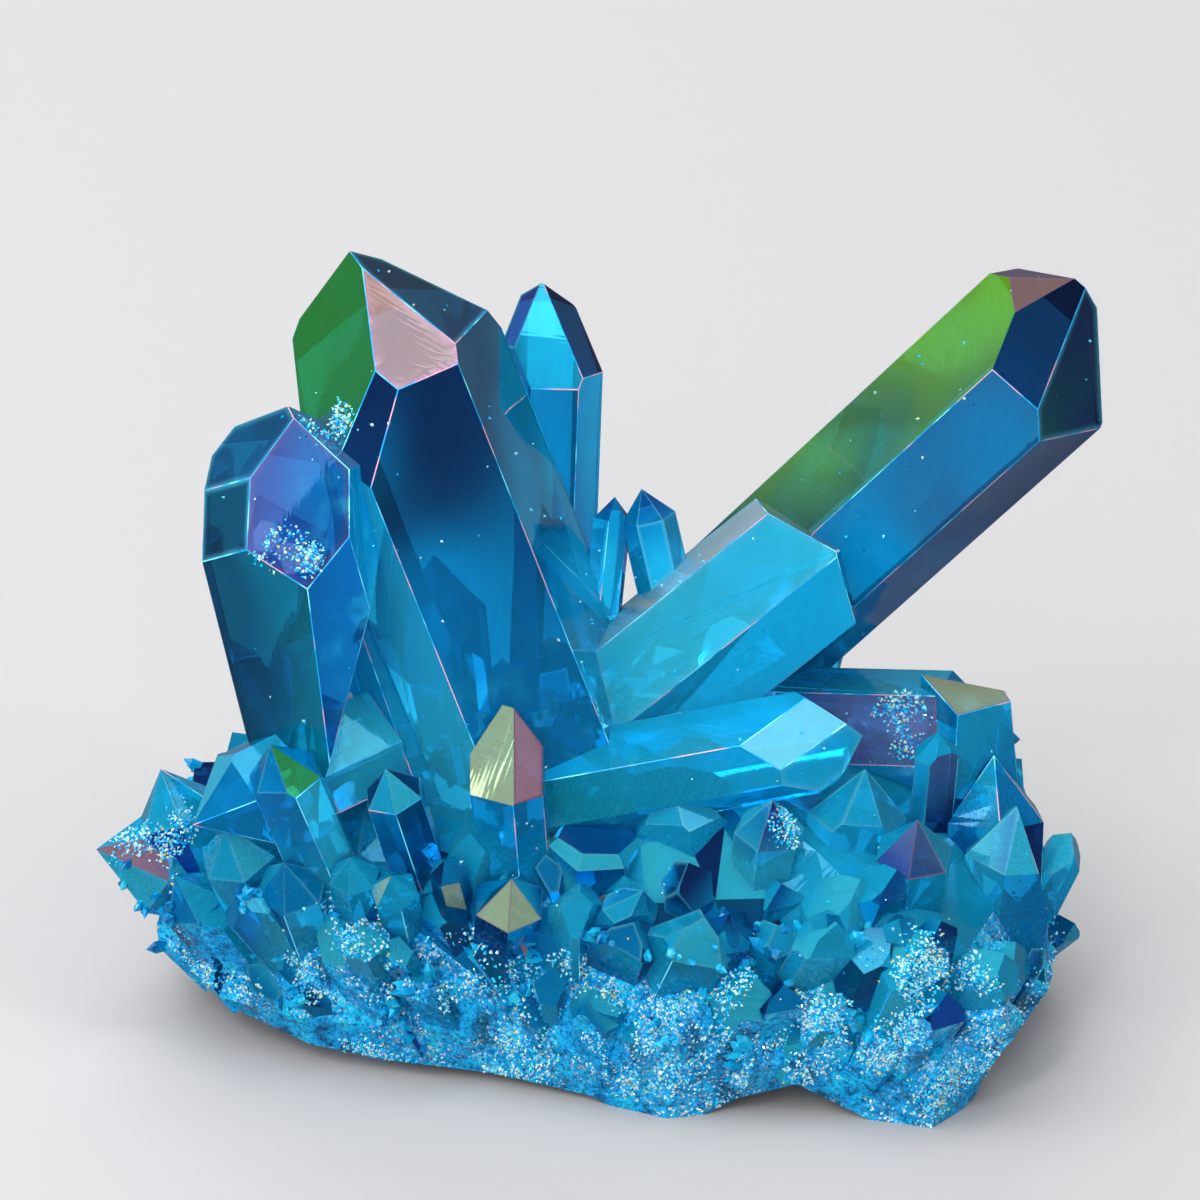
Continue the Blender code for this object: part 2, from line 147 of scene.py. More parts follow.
bpy.ops.object.select_all(action="DESELECT")
bpy.ops.mesh.primitive_plane_add(size=2 * FLOOR_HALF, location=(0.0, 0.0, 0.0))
floor = bpy.context.object
floor.name = "floor"
bpy.ops.object.mode_set(mode="EDIT")
bpy.ops.mesh.select_all(action="DESELECT")
sweep = bmesh.from_edit_mesh(floor.data)
for edge in sweep.edges:
    edge.select = all(vertex.co.y > 0.0 for vertex in edge.verts)
sweep.select_flush_mode()
bmesh.update_edit_mesh(floor.data)
bpy.ops.mesh.spin(
    steps=SWEEP_STEPS,
    angle=-SWEEP_TURN,
    center=(0.0, FLOOR_HALF, SWEEP_RADIUS),
    axis=(1.0, 0.0, 0.0),
)
bpy.ops.object.mode_set(mode="OBJECT")
bpy.ops.object.transform_apply(location=True, rotation=True, scale=True)
bpy.ops.object.shade_smooth()
floor.data.materials.append(plain_material("pale floor", FLOOR_COLOUR, FLOOR_ROUGHNESS))
floor.visible_glossy = False
print("floor top", round(max(vertex.co.z for vertex in floor.data.vertices), 2), "m")

# %% Softboxes
# Name, place, width, height, watts, colour, and whether the crystals mirror it.
SOFTBOXES = (
    ("overhead tent", (-0.10, -0.10, 0.75), 1.1, 1.0, 8.5, (1.0, 0.98, 0.95), False),
    ("front tent", (-0.25, -1.10, 0.45), 1.3, 0.9, 12.5, (1.0, 1.0, 1.0), False),
    ("left tent", (-0.80, -0.20, 0.50), 0.8, 0.8, 4.6, (1.0, 1.0, 1.0), False),
    ("behind", (-0.15, 0.60, 0.50), 0.7, 0.4, 5.0, (1.0, 1.0, 1.0), False),
    ("strip left", (-0.50, -0.10, 0.76), 0.13, 1.0, 1.1, (1.0, 0.98, 0.95), True),
    ("strip middle", (-0.10, -0.10, 0.76), 0.13, 1.0, 1.1, (1.0, 0.98, 0.95), True),
    ("strip right", (0.30, -0.10, 0.76), 0.13, 1.0, 1.1, (1.0, 0.98, 0.95), True),
    ("front glint", (-0.30, -0.70, 0.75), 0.08, 0.30, 2.2, (1.0, 0.97, 0.92), True),
    ("right glint", (0.55, -0.35, 0.60), 0.08, 0.20, 1.4, (1.0, 1.0, 1.0), True),
)
for name, place, width, height, watts, colour, mirrored in SOFTBOXES:
    bpy.ops.object.light_add(type="AREA", location=place)
    light = bpy.context.object
    light.name = name
    light.data.shape = "RECTANGLE"
    light.data.size = width
    light.data.size_y = height
    light.data.energy = watts
    light.data.color = colour
    light.visible_glossy = mirrored
    aim = VIEW_MIDDLE * MM - Vector(place)
    light.rotation_euler = aim.to_track_quat("-Z", "Y").to_euler()
print(len(SOFTBOXES), "softboxes")

# %% [markdown]
# The air of the studio is dim and faintly blue. Light that enters a crystal, meets its far side and
# comes out again takes four turns, and more would only cost time.

# %% Air, and how far the light is followed
AIR_COLOUR = (0.55, 0.58, 0.62, 1.0)
AIR_STRENGTH = 0.3
CRYSTAL_TURNS = 4
GLOSSY_TURNS = 3
DIFFUSE_TURNS = 2
world = bpy.data.worlds.new("studio air")
world.use_nodes = True
air = world.node_tree.nodes["Background"]
air.inputs["Color"].default_value = AIR_COLOUR
air.inputs["Strength"].default_value = AIR_STRENGTH
bpy.context.scene.world = world
bpy.context.scene.view_settings.view_transform = "Standard"
paths = bpy.context.scene.cycles
paths.max_bounces = CRYSTAL_TURNS
paths.transmission_bounces = CRYSTAL_TURNS
paths.glossy_bounces = GLOSSY_TURNS
paths.diffuse_bounces = DIFFUSE_TURNS
print("light followed for", paths.max_bounces, "turns")

# %% [markdown]
# ## The crystals, from the solid
#
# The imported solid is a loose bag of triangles, which is right for physics and poor for a bevel. A
# copy has its doubles merged and its flat triangles dissolved, so that each facet becomes one face
# again, and every ridge is one edge between two of them.

# %% One face for each facet
FLAT = math.radians(0.6)
SAME_PLACE = 0.002 * MM
crystals = bpy.data.objects.new("crystals", SOLID.data.copy())
bpy.context.scene.collection.objects.link(crystals)
select_only(crystals)
bpy.ops.object.mode_set(mode="EDIT")
bpy.ops.mesh.select_all(action="SELECT")
bpy.ops.mesh.remove_doubles(threshold=SAME_PLACE)
bpy.ops.mesh.customdata_custom_splitnormals_clear()
bpy.ops.mesh.dissolve_limited(angle_limit=FLAT)
bpy.ops.object.mode_set(mode="OBJECT")
bpy.ops.object.shade_flat()
print("facets", len(crystals.data.polygons), "from", len(SOLID.data.polygons), "triangles")

# %% [markdown]
# Crystals that grew into each other meet in a valley, while the facets of one crystal meet in a
# ridge. Walking over ridges and stopping at valleys therefore finds each crystal by itself.

# %% Which facets belong to one crystal
VALLEY = math.radians(-9.0)


def grown_apart(mesh):
    """Lists of faces, one for each crystal of the mesh."""
    left = set(mesh.faces)
    for start in mesh.faces:
        if start not in left:
            continue
        left.remove(start)
        crystal, found = [], [start]
        while found:
            face = found.pop()
            crystal.append(face)
            for edge in face.edges:
                if len(edge.link_faces) != 2 or edge.calc_face_angle_signed(0.0) < VALLEY:
                    continue
                for neighbour in edge.link_faces:
                    if neighbour in left:
                        left.remove(neighbour)
                        found.append(neighbour)
        yield crystal


mesh = bmesh.new()
mesh.from_mesh(crystals.data)
mesh.faces.ensure_lookup_table()
islands = list(grown_apart(mesh))
print("crystals and patches of crust:", len(islands))

# %% [markdown]
# ## The colour of each facet
#
# The film is the same metal everywhere, but its thickness changes from facet to facet, so each has
# a colour of its own that fades towards the foot. The darkest top colours are painted shade, and the
# bright foot is partly milky quartz and partly a painted glow. The large facets are named one by one,
# by where they are seen, with the colour at their top and the colour at their foot. The rest are
# coloured crystal by crystal in the next step.

# %% Colours of the film
def shade(red, green, blue):
    """A colour from its screen values, 0 to 255."""
    return tuple(
        value / 12.92 if value <= 0.04045 else ((value + 0.055) / 1.055) ** 2.4
        for value in (red / 255, green / 255, blue / 255)
    )


NIGHT = shade(10, 30, 66)
NAVY = shade(10, 52, 110)
DEEP_BLUE = shade(6, 104, 180)
ROYAL = shade(18, 90, 200)
MID_BLUE = shade(4, 150, 216)
OCEAN = shade(6, 96, 138)
TEAL = shade(8, 160, 186)
DARK_TEAL = shade(6, 66, 92)
SEA = shade(18, 178, 224)
CYAN = shade(30, 200, 250)
BRIGHT_CYAN = shade(60, 222, 255)
PALE_CYAN = shade(112, 226, 252)
ICE = shade(214, 246, 252)
BOTTLE = shade(20, 120, 100)
GREEN = shade(60, 170, 76)
LIME = shade(140, 216, 44)
GOLD = shade(222, 196, 104)
SAND = shade(166, 132, 130)
STRAW = shade(206, 240, 194)
PINK = shade(200, 128, 168)
ROSE = shade(204, 156, 178)
MAUVE = shade(122, 76, 130)
LILAC = shade(112, 140, 206)
VIOLET = shade(46, 66, 146)
STEEL = shade(84, 116, 168)
PLUM = shade(60, 40, 92)
WEDGE = shade(6, 84, 160)

# %% The named facets
# Name, where it is seen in millimetres right and up of the view's middle, top and foot colour,
# and how strongly the film mirrors.
# NIGHT and DARK_TEAL at the tops are painted shade, and ICE on the blunt upper facet is painted light.
FACETS = (
    ("main front", (-8.9, 1.4), NIGHT, MID_BLUE, 0.05),
    ("main right", (-4.6, 7.7), DARK_TEAL, CYAN, 0.05),
    ("main tip green", (-19.8, 18.5), GREEN, TEAL, 0.25),
    ("main tip pink", (-14.6, 19.5), SAND, SAND, 0.12),
    ("main tip right", (-13.0, 22.6), DARK_TEAL, DARK_TEAL, 0.08),
    ("main small navy", (-17.1, 12.9), NIGHT, NAVY, 0.1),
    ("main low left", (-13.4, -5.8), CYAN, BRIGHT_CYAN, 0.05),
    ("main lower right", (-17.7, 4.9), DARK_TEAL, MID_BLUE, 0.05),
    ("stout front", (-22.5, 7.0), VIOLET, DEEP_BLUE, 0.12),
    ("stout upper left", (-26.4, 11.3), OCEAN, DEEP_BLUE, 0.08),
    ("stout upper right", (-20.7, 12.2), STEEL, STEEL, 0.2),
    ("stout left", (-27.9, 6.0), DARK_TEAL, OCEAN, 0.08),
    ("stout low left", (-24.6, -4.1), DARK_TEAL, TEAL, 0.05),
    ("stout low right", (-19.6, -2.5), NAVY, DEEP_BLUE, 0.08),
    ("upright rhomb", (-4.0, 18.8), CYAN, CYAN, 0.2),
    ("upright right rhomb", (-1.8, 19.8), NIGHT, NAVY, 0.08),
    ("upright front", (-3.3, 10.4), OCEAN, MID_BLUE, 0.05),
    ("leaning upper", (16.7, 9.8), LIME, OCEAN, 0.25),
    ("leaning top", (31.8, 24.3), MAUVE, SAND, 0.3),
    ("leaning top front", (32.5, 23.1), SAND, MAUVE, 0.3),
    ("leaning front rhomb", (32.7, 19.3), NIGHT, NAVY, 0.1),
    ("leaning end", (35.4, 16.4), NAVY, BOTTLE, 0.08),
    ("leaning front", (23.4, 7.5), PLUM, MID_BLUE, 0.08),
    ("leaning under", (24.6, 2.9), NAVY, DEEP_BLUE, 0.05),
    ("blunt upper", (6.4, 2.4), ICE, PALE_CYAN, 0.1),
    ("blunt front", (7.9, -1.1), BRIGHT_CYAN, BRIGHT_CYAN, 0.08),
    ("blunt lower", (11.1, -5.0), CYAN, BRIGHT_CYAN, 0.05),
    ("blunt end", (18.4, 1.3), DEEP_BLUE, CYAN, 0.05),
    ("lying right upper", (5.8, -10.1), CYAN, SEA, 0.08),
    ("lying right tip", (14.4, -10.0), PALE_CYAN, CYAN, 0.05),
    ("lying right front", (4.2, -13.8), SEA, TEAL, 0.05),
    ("lying back top", (19.3, -6.1), BRIGHT_CYAN, CYAN, 0.08),
    ("lying back front", (20.6, -10.0), LILAC, LILAC, 0.15),
    ("gold cap", (27.4, -7.1), STRAW, GOLD, 0.2),
    ("gold cap blue", (28.7, -10.9), CYAN, MID_BLUE, 0.08),
    ("gold cap left", (25.5, -11.1), CYAN, DEEP_BLUE, 0.08),
    ("front upright left", (-7.8, -12.0), STRAW, GOLD, 0.3),
    ("front upright right", (-6.2, -11.6), ROSE, ROSE, 0.3),
    ("green tip left", (-24.0, -12.2), STRAW, SAND, 0.25),
    ("green tip right", (-22.0, -13.4), GREEN, CYAN, 0.1),
    ("second tip left", (-15.3, -14.0), NAVY, MID_BLUE, 0.1),
    ("second tip right", (-13.6, -14.6), BRIGHT_CYAN, CYAN, 0.12),
    ("lime blade", (-10.8, -22.8), STRAW, STRAW, 0.1),
    ("gold facet", (-7.5, -22.6), STRAW, STRAW, 0.2),
    ("gold facet right", (-5.4, -23.8), STRAW, STRAW, 0.2),
    ("dark wedge", (-0.6, -18.7), WEDGE, DEEP_BLUE, 0.1),
    ("wedge gold", (1.0, -20.4), WEDGE, MID_BLUE, 0.1),
    ("wedge edge", (3.4, -21.5), BRIGHT_CYAN, BRIGHT_CYAN, 0.1),
    ("end lump left", (-35.4, -18.2), ROSE, LILAC, 0.4),
    ("end lump right", (-32.3, -17.4), DEEP_BLUE, ROYAL, 0.15),
    ("sugared tip", (13.2, -15.9), VIOLET, CYAN, 0.2),
    ("dark point", (22.8, -18.4), LILAC, ROYAL, 0.2),
    ("dark point right", (24.2, -19.5), STEEL, DEEP_BLUE, 0.2),
    ("dark blade", (25.0, -12.7), STEEL, NAVY, 0.12),
    ("pale stump", (9.5, -19.5), BRIGHT_CYAN, BRIGHT_CYAN, 0.1),
)

# %% Finding a facet by where it is seen
look = BVHTree.FromBMesh(mesh)


def facet_at(right, up):
    """The face that is seen at this place in the view."""
    place = seen(right, up)
    found = look.ray_cast(EYE, (place - EYE).normalized())
    return mesh.faces[found[2]]


def whole_facet(face):
    """All faces that lie flat beside this one, in case a facet came in pieces."""
    pieces, found = {face}, [face]
    while found:
        for edge in found.pop().edges:
            for neighbour in edge.link_faces:
                if neighbour not in pieces and neighbour.normal.angle(face.normal) < 2 * FLAT:
                    pieces.add(neighbour)
                    found.append(neighbour)
    return pieces


named = {}
for _, place, *film in FACETS:
    for piece in whole_facet(facet_at(*place)):
        named[piece.index] = film
print(len(FACETS), "named facets on", len(named), "faces")

# %% [markdown]
# The other crystals take their film from a mood, chosen for each crystal by weight: nearly all are
# blue and cyan, and a few have a straw, gold or pink facet. Large facets at the tips of the tall
# crystals have a film of their own, and gold, pink and straw stay on small facets. Three layers then
# go onto the faces: the colour at a facet's top, with the strength of the film's mirror as its
# alpha, the colour at its foot, and how far down the crystal each corner lies. A UV map measures
# each face along and across the way its crystal grew, for the fine lines that quartz shows.

# %% Moods of the small crystals
# How often a mood is drawn, the colours that its facets choose from, and the colour at the foot.
MOODS = (
    (11, (MID_BLUE, DEEP_BLUE, CYAN, MID_BLUE), CYAN),
    (6, (MID_BLUE, OCEAN, CYAN, NAVY), DEEP_BLUE),
    (12, (CYAN, SEA, BRIGHT_CYAN, CYAN), CYAN),
    (11, (BRIGHT_CYAN, CYAN, MID_BLUE, MID_BLUE), BRIGHT_CYAN),
    (5, (ROYAL, DEEP_BLUE, NAVY, MID_BLUE), MID_BLUE),
    (3, (SEA, STRAW, SEA, CYAN), CYAN),
    (1, (GOLD, SEA, CYAN, CYAN), CYAN),
    (1, (ROSE, MID_BLUE, LILAC, SEA), CYAN),
)
BLUE_MOODS = MOODS[:5]
COLOURFUL_HEIGHT = 10.0 * MM
LARGE_FACET = 6.0 * MM * MM
TIP_FILMS = (VIOLET, NAVY, DEEP_BLUE, GREEN, SAND)
TIP_HEIGHT = 33.0 * MM
TIP_SLOPE = 0.35
MIRROR = {GOLD: 0.3, ROSE: 0.3, STRAW: 0.25, BRIGHT_CYAN: 0.06}
WEAK_MIRROR = 0.05
print(len(MOODS), "moods,", len(BLUE_MOODS), "of them blue")

# %% Writing the film onto the faces
SEED = 11
ROOT_RUN = 0.9
SHORTEST_RUN = 0.01 * MM
ACROSS_GROWTH = 0.05
top_layer = mesh.loops.layers.float_color.new("film_top")
foot_layer = mesh.loops.layers.float_color.new("film_foot")
along_layer = mesh.loops.layers.float.new("along")
grain_layer = mesh.loops.layers.uv.new("grain")


def growth(crystal):
    """Which way a crystal grew: from the opening where it leaves its neighbours, outwards."""
    total = Vector((0.0, 0.0, 0.0))
    for face in crystal:
        total += face.normal * face.calc_area()
    return total.normalized() if total.length > 0.0 else Vector((0.0, 0.0, 1.0))


def on_face(normal, axis):
    """The way along the growth that lies in a face, and the way across it."""
    forward = axis - normal * axis.dot(normal)
    if forward.length < ACROSS_GROWTH:
        forward = normal.orthogonal()
    forward.normalize()
    return forward, normal.cross(forward)


draw = random.Random(SEED)
for crystal in islands:
    axis = growth(crystal)
    heights = [vertex.co.dot(axis) for face in crystal for vertex in face.verts]
    tip = max(heights)
    run = max(tip - min(heights), SHORTEST_RUN) * ROOT_RUN
    peak = max(vertex.co.z for face in crystal for vertex in face.verts)
    moods = MOODS if peak > COLOURFUL_HEIGHT else BLUE_MOODS
    _, tops, foot_colour = draw.choices(moods, [mood[0] for mood in moods])[0]
    for face in crystal:
        forward, across = on_face(face.normal, axis)
        top = draw.choice(tops)
        large = face.calc_area() > LARGE_FACET
        if large and face.normal.z > TIP_SLOPE and face.calc_center_median().z > TIP_HEIGHT:
            top = draw.choice(TIP_FILMS)
        elif large and top in (GOLD, ROSE, STRAW):
            top = tops[-1]
        unnamed = (top, foot_colour, MIRROR.get(top, WEAK_MIRROR))
        top, foot, mirror = named.get(face.index, unnamed)
        for loop in face.loops:
            loop[top_layer] = (*top, mirror)
            loop[foot_layer] = (*foot, 1.0)
            loop[along_layer] = (tip - loop.vert.co.dot(axis)) / run
            loop[grain_layer].uv = (loop.vert.co.dot(across) / MM, loop.vert.co.dot(forward) / MM)
print("film written on", len(mesh.faces), "faces")

# %% [markdown]
# The foot isn't clear crystal: round its rim it is a crust of tiny crystals that grew into each
# other, and underneath it is the grey-brown rock that the whole cluster broke away from. Its patches
# open upwards, where the crystals stand on them, so they seem to grow down. Those faces get materials
# of their own, and so does everything below the height where the clear crystals start.

# %% Crust and rock
CRYSTAL, RIDGE, CRUST, ROCK = range(4)
GROWS_DOWN = -0.25
CRUST_COUNT = 30
CRUST_TOP = 11.0 * MM
ALL_CRUST = 4.5 * MM
ROCK_TOP = 6.0 * MM
ROCK_FACING = -0.75
SKIRT_TOP = 9.0 * MM
SKIRT_FACING = 0.35
SKIRT_FACET = 3.0 * MM * MM
for crystal in islands:
    foot_patch = growth(crystal).z < GROWS_DOWN or len(crystal) > CRUST_COUNT
    for face in crystal:
        height = face.calc_center_median().z
        facing = face.normal.z
        skirt = height < SKIRT_TOP and facing < SKIRT_FACING and face.calc_area() > SKIRT_FACET
        if height < ALL_CRUST or (height < CRUST_TOP and (foot_patch or skirt)):
            face.material_index = ROCK if facing < ROCK_FACING and height < ROCK_TOP else CRUST
for kind, label in ((CRYSTAL, "crystal"), (CRUST, "crust"), (ROCK, "rock")):
    print(sum(face.material_index == kind for face in mesh.faces), "faces of", label)

# %% [markdown]
# On the large facets the film is thicker towards the edges, so they have a rim of another colour.
# Each one that kept all its corners is inset once. A fourth layer holds the rim's colour, with an
# alpha of 1 at the outer edge and 0 inside.

# %% A rim on each large facet
RIM_WIDTH = 0.8 * MM
RIM_SHARE = 0.7
RIM_COLOURS = {
    GREEN: LIME,
    SAND: PINK,
    ROSE: MAUVE,
    STRAW: ROSE,
    VIOLET: MAUVE,
    LIME: LIME,
    GOLD: ROSE,
    NIGHT: NAVY,
    PLUM: MAUVE,
    WEDGE: GOLD,
    STEEL: ROSE,
}
RIM_AREA = 2.5 * MM * MM
RIM_CORNER = math.radians(35.0)
SHORT_EDGE = 0.35 * MM
rim_layer = mesh.loops.layers.float_color.new("film_rim")


def whole(face):
    """Whether a facet is large and has all its corners, so that it can be inset cleanly."""
    return (
        face.calc_area() > RIM_AREA
        and face.material_index == CRYSTAL
        and all(loop.is_convex and loop.calc_angle() > RIM_CORNER for loop in face.loops)
        and all(edge.calc_length() > SHORT_EDGE for edge in face.edges)
    )


def rim_colour(face):
    """The colour of a facet's rim, which goes with the film at its top."""
    top = named.get(face.index, (CYAN,))[0]
    return RIM_COLOURS.get(top, PALE_CYAN)


for face in mesh.faces:
    for loop in face.loops:
        loop[rim_layer] = (*PALE_CYAN, 0.0)
rimmed = [(face, rim_colour(face)) for face in mesh.faces if whole(face)]
for face, rim in rimmed:
    around = sum(edge.calc_length() for edge in face.edges)
    width = min(RIM_WIDTH, RIM_SHARE * face.calc_area() / around)
    inset = bmesh.ops.inset_individual(mesh, faces=[face], thickness=width, use_even_offset=False)
    inner = set(face.verts)
    for piece in (face, *inset["faces"]):
        for loop in piece.loops:
            loop[rim_layer] = (*rim, 0.0 if loop.vert in inner else 1.0)
print(len(rimmed), "rims inset")

# %% [markdown]
# Real ridges are never knife edges: they are worn into a hairline that catches the light. Only the
# long ridges between large facets get one, because on small crystals it would look drawn. They are
# picked by angle and length, and bevelled in edit mode with a material number of their own.

# %% Hairline bevels on the long ridges
RIDGE_ANGLE = math.radians(14.0)
RIDGE_LENGTH = 4.5 * MM
RIDGE_FACET = 2.0 * MM * MM
RIDGE_WIDTH = 0.045 * MM


def worn_ridge(edge):
    """Whether an edge is a long ridge between two large facets of crystal."""
    return (
        len(edge.link_faces) == 2
        and edge.calc_face_angle_signed(0.0) > RIDGE_ANGLE
        and edge.calc_length() > RIDGE_LENGTH
        and all(face.calc_area() > RIDGE_FACET for face in edge.link_faces)
        and all(face.material_index == CRYSTAL for face in edge.link_faces)
    )


for face in mesh.faces:
    face.select = False
for edge in mesh.edges:
    edge.select = worn_ridge(edge)
ridge_count = sum(edge.select for edge in mesh.edges)
crystals.data.materials.clear()
for name in ("filmed crystal", "worn ridge", "crystal crust", "broken rock"):
    crystals.data.materials.append(bpy.data.materials.new(name))
mesh.to_mesh(crystals.data)
mesh.free()
select_only(crystals)
bpy.ops.object.mode_set(mode="EDIT")
bpy.context.tool_settings.mesh_select_mode = (False, True, False)
bpy.ops.mesh.bevel(offset=RIDGE_WIDTH, segments=1, affect="EDGES", clamp_overlap=False, material=RIDGE)
bpy.ops.object.mode_set(mode="OBJECT")
print(ridge_count, "ridges bevelled,", len(crystals.data.polygons), "faces now")

# %% [markdown]
# ## Druse
#
# Between the large crystals and round the foot sits druse, a sugar of grains a fraction of a
# millimetre long, with slightly larger points among it. One point is modelled by hand: a six-sided
# column whose top is drawn up to a tip. A grain is a plain five-sided cone. Geometry Nodes then sets
# a copy on each of thousands of places, because every copy needs its own turn, lean and size.

# %% One small point and one grain
POINT_SHARE = 0.55
FACES_UP = 0.9
bpy.ops.object.select_all(action="DESELECT")
bpy.ops.mesh.primitive_cylinder_add(
    vertices=6,
    radius=0.5,
    depth=POINT_SHARE,
    location=(0.0, 0.0, POINT_SHARE / 2),
)
small_point = bpy.context.object
small_point.name = "small_point"
bpy.ops.object.transform_apply(location=True, rotation=True, scale=True)
bpy.ops.object.mode_set(mode="EDIT")
bpy.ops.mesh.select_all(action="DESELECT")
shaping = bmesh.from_edit_mesh(small_point.data)
for face in shaping.faces:
    face.select = face.normal.z > FACES_UP
shaping.select_flush_mode()
bmesh.update_edit_mesh(small_point.data)
bpy.ops.mesh.extrude_region_move(TRANSFORM_OT_translate={"value": (0.0, 0.0, 1.0 - POINT_SHARE)})
bpy.ops.mesh.merge(type="CENTER")
bpy.ops.object.mode_set(mode="OBJECT")
bpy.ops.mesh.primitive_cone_add(vertices=5, radius1=0.5, depth=1.0, location=(0.0, 0.0, 0.5))
grain = bpy.context.object
grain.name = "grain"
bpy.ops.object.transform_apply(location=True, rotation=True, scale=True)
print("small point:", len(small_point.data.polygons), "faces, grain:", len(grain.data.polygons), "faces")

# %% Places on the crystals
crystals.data.calc_loop_triangles()
TRIANGLES = crystals.data.loop_triangles
CORNERS = [
    tuple(crystals.data.vertices[i].co.copy() for i in triangle.vertices) for triangle in TRIANGLES
]
FACINGS = [triangle.normal.copy() for triangle in TRIANGLES]
FACET_AREAS = [crystals.data.polygons[triangle.polygon_index].area for triangle in TRIANGLES]
REACH = list(itertools.accumulate(triangle.area for triangle in TRIANGLES))
BOX_MARGIN = 0.5 * MM
LOWEST = 0.9 * MM


def inside_box(place):
    """Whether a place keeps clear of the ground and of the sides of the solid's box."""
    within = (low[i] + BOX_MARGIN < place[i] < high[i] - BOX_MARGIN for i in range(2))
    return place.z > LOWEST and all(within)


def scattered(count, wanted, seed):
    """count places on the crystals, with their normals, kept as often as wanted says."""
    draw = random.Random(seed)
    found = []
    while len(found) < count:
        which = bisect.bisect_left(REACH, draw.random() * REACH[-1])
        a, b, c = CORNERS[which]
        u, v = sorted((draw.random(), draw.random()))
        place = a * u + b * (v - u) + c * (1.0 - v)
        if inside_box(place) and draw.random() < wanted(place, FACINGS[which], FACET_AREAS[which]):
            found.append((place, FACINGS[which]))
    return found


print(len(TRIANGLES), "triangles to sit on,", round(REACH[-1] / MM**2), "square millimetres")

# %% Setting the copies with Geometry Nodes
def linked(group, kind, inputs=(), **settings):
    """A node of a Geometry Nodes group, with sockets linked or set by name."""
    made = group.nodes.new(kind)
    for key, value in settings.items():
        setattr(made, key, value)
    for key, value in inputs:
        if isinstance(value, bpy.types.NodeSocket):
            group.links.new(value, made.inputs[key])
        else:
            made.inputs[key].default_value = value
    return made


def named_value(group, name, data_type):
    """A layer of numbers on the places, read by its name."""
    found = linked(group, "GeometryNodeInputNamedAttribute", [("Name", name)], data_type=data_type)
    return found.outputs["Attribute"]


def setting_group(shape):
    """Nodes that set a shape on every place, turned, leant and sized by the place's numbers."""
    group = bpy.data.node_groups.new("set " + shape.name, "GeometryNodeTree")
    group.is_modifier = True
    group.interface.new_socket("Geometry", in_out="INPUT", socket_type="NodeSocketGeometry")
    group.interface.new_socket("Geometry", in_out="OUTPUT", socket_type="NodeSocketGeometry")
    places = group.nodes.new("NodeGroupInput").outputs[0]
    spin = linked(group, "ShaderNodeCombineXYZ", [("Z", named_value(group, "spin", "FLOAT"))])
    turn = linked(group, "FunctionNodeEulerToRotation", [("Euler", spin.outputs[0])])
    lean = linked(
        group,
        "FunctionNodeAlignRotationToVector",
        [("Rotation", turn.outputs[0]), ("Vector", named_value(group, "facing", "FLOAT_VECTOR"))],
        axis="Z",
    )
    copy = linked(group, "GeometryNodeObjectInfo", [("Object", shape)])
    copies = linked(
        group,
        "GeometryNodeInstanceOnPoints",
        [
            ("Points", places),
            ("Instance", copy.outputs["Geometry"]),
            ("Rotation", lean.outputs[0]),
            ("Scale", named_value(group, "size", "FLOAT_VECTOR")),
        ],
    )
    real = linked(group, "GeometryNodeRealizeInstances", [("Geometry", copies.outputs[0])])
    output = group.nodes.new("NodeGroupOutput")
    group.links.new(real.outputs[0], output.inputs[0])
    return group


def grown(name, shape, places, length, width, lean, seed, sunk=0.15):
    """A piece of copies on these places.

    length is a range in millimetres, width is a range of shares of it, lean is how far a copy tips,
    and sunk is the share of a copy that is below the surface.
    """
    draw = random.Random(seed)
    data = bpy.data.meshes.new(name)
    rows = {"facing": [], "size": [], "spin": [], "tint": []}
    spots = []
    for place, normal in places:
        wobble = Vector([draw.uniform(-lean, lean) for _ in range(3)])
        facing = (normal + wobble).normalized()
        tall = draw.uniform(*length) * MM
        broad = tall * draw.uniform(*width)
        spots.append(place - facing * tall * sunk)
        rows["facing"].extend(facing)
        rows["size"].extend((broad, broad, tall))
        rows["spin"].append(draw.uniform(0.0, math.tau))
        rows["tint"].append(draw.random())
    data.from_pydata(spots, [], [])
    for key, values in rows.items():
        vector = key in ("facing", "size")
        layer = data.attributes.new(key, "FLOAT_VECTOR" if vector else "FLOAT", "POINT")
        layer.data.foreach_set("vector" if vector else "value", values)
    piece = bpy.data.objects.new(name, data)
    bpy.context.scene.collection.objects.link(piece)
    select_only(piece)
    piece.modifiers.new("set copies", "NODES").node_group = setting_group(shape)
    bpy.ops.object.modifier_apply(modifier="set copies")
    print(name, len(places), "copies,", len(piece.data.polygons), "faces")
    return piece


# %% [markdown]
# Where the druse sits is told in the view, as the facets were. Each patch has a middle and a
# radius in millimetres. All round the foot a broken band of it follows the crust, thick in some
# places and bare in others. A few grains lie anywhere, like dust. The patches on large facets are
# frosted by the material too.

# %% Where the sugar sits
PATCHES = (
    ("rim far left", (-19.0, -28.7), 4.6),
    ("rim left", (-10.0, -31.0), 4.6),
    ("rim middle", (-1.5, -32.5), 4.2),
    ("rim middle right", (6.0, -33.0), 4.4),
    ("rim right", (13.5, -33.0), 4.8),
    ("rim corner", (23.5, -33.0), 5.0),
    ("gold flecks right", (24.4, -29.0), 3.2),
    ("left end", (-33.0, -18.3), 2.8),
    ("upright tip", (13.9, -17.0), 1.2),
)
FROSTED = (
    ("violet patch", (22.3, -9.3), 1.9),
    ("stout foot left", (-24.9, 4.5), 1.3),
    ("stout foot", (-23.2, 3.5), 1.4),
    ("stout foot right", (-21.7, 3.1), 1.0),
    ("stout ridge", (-20.1, 12.4), 1.8),
)
surface = BVHTree.FromObject(crystals, bpy.context.evaluated_depsgraph_get())


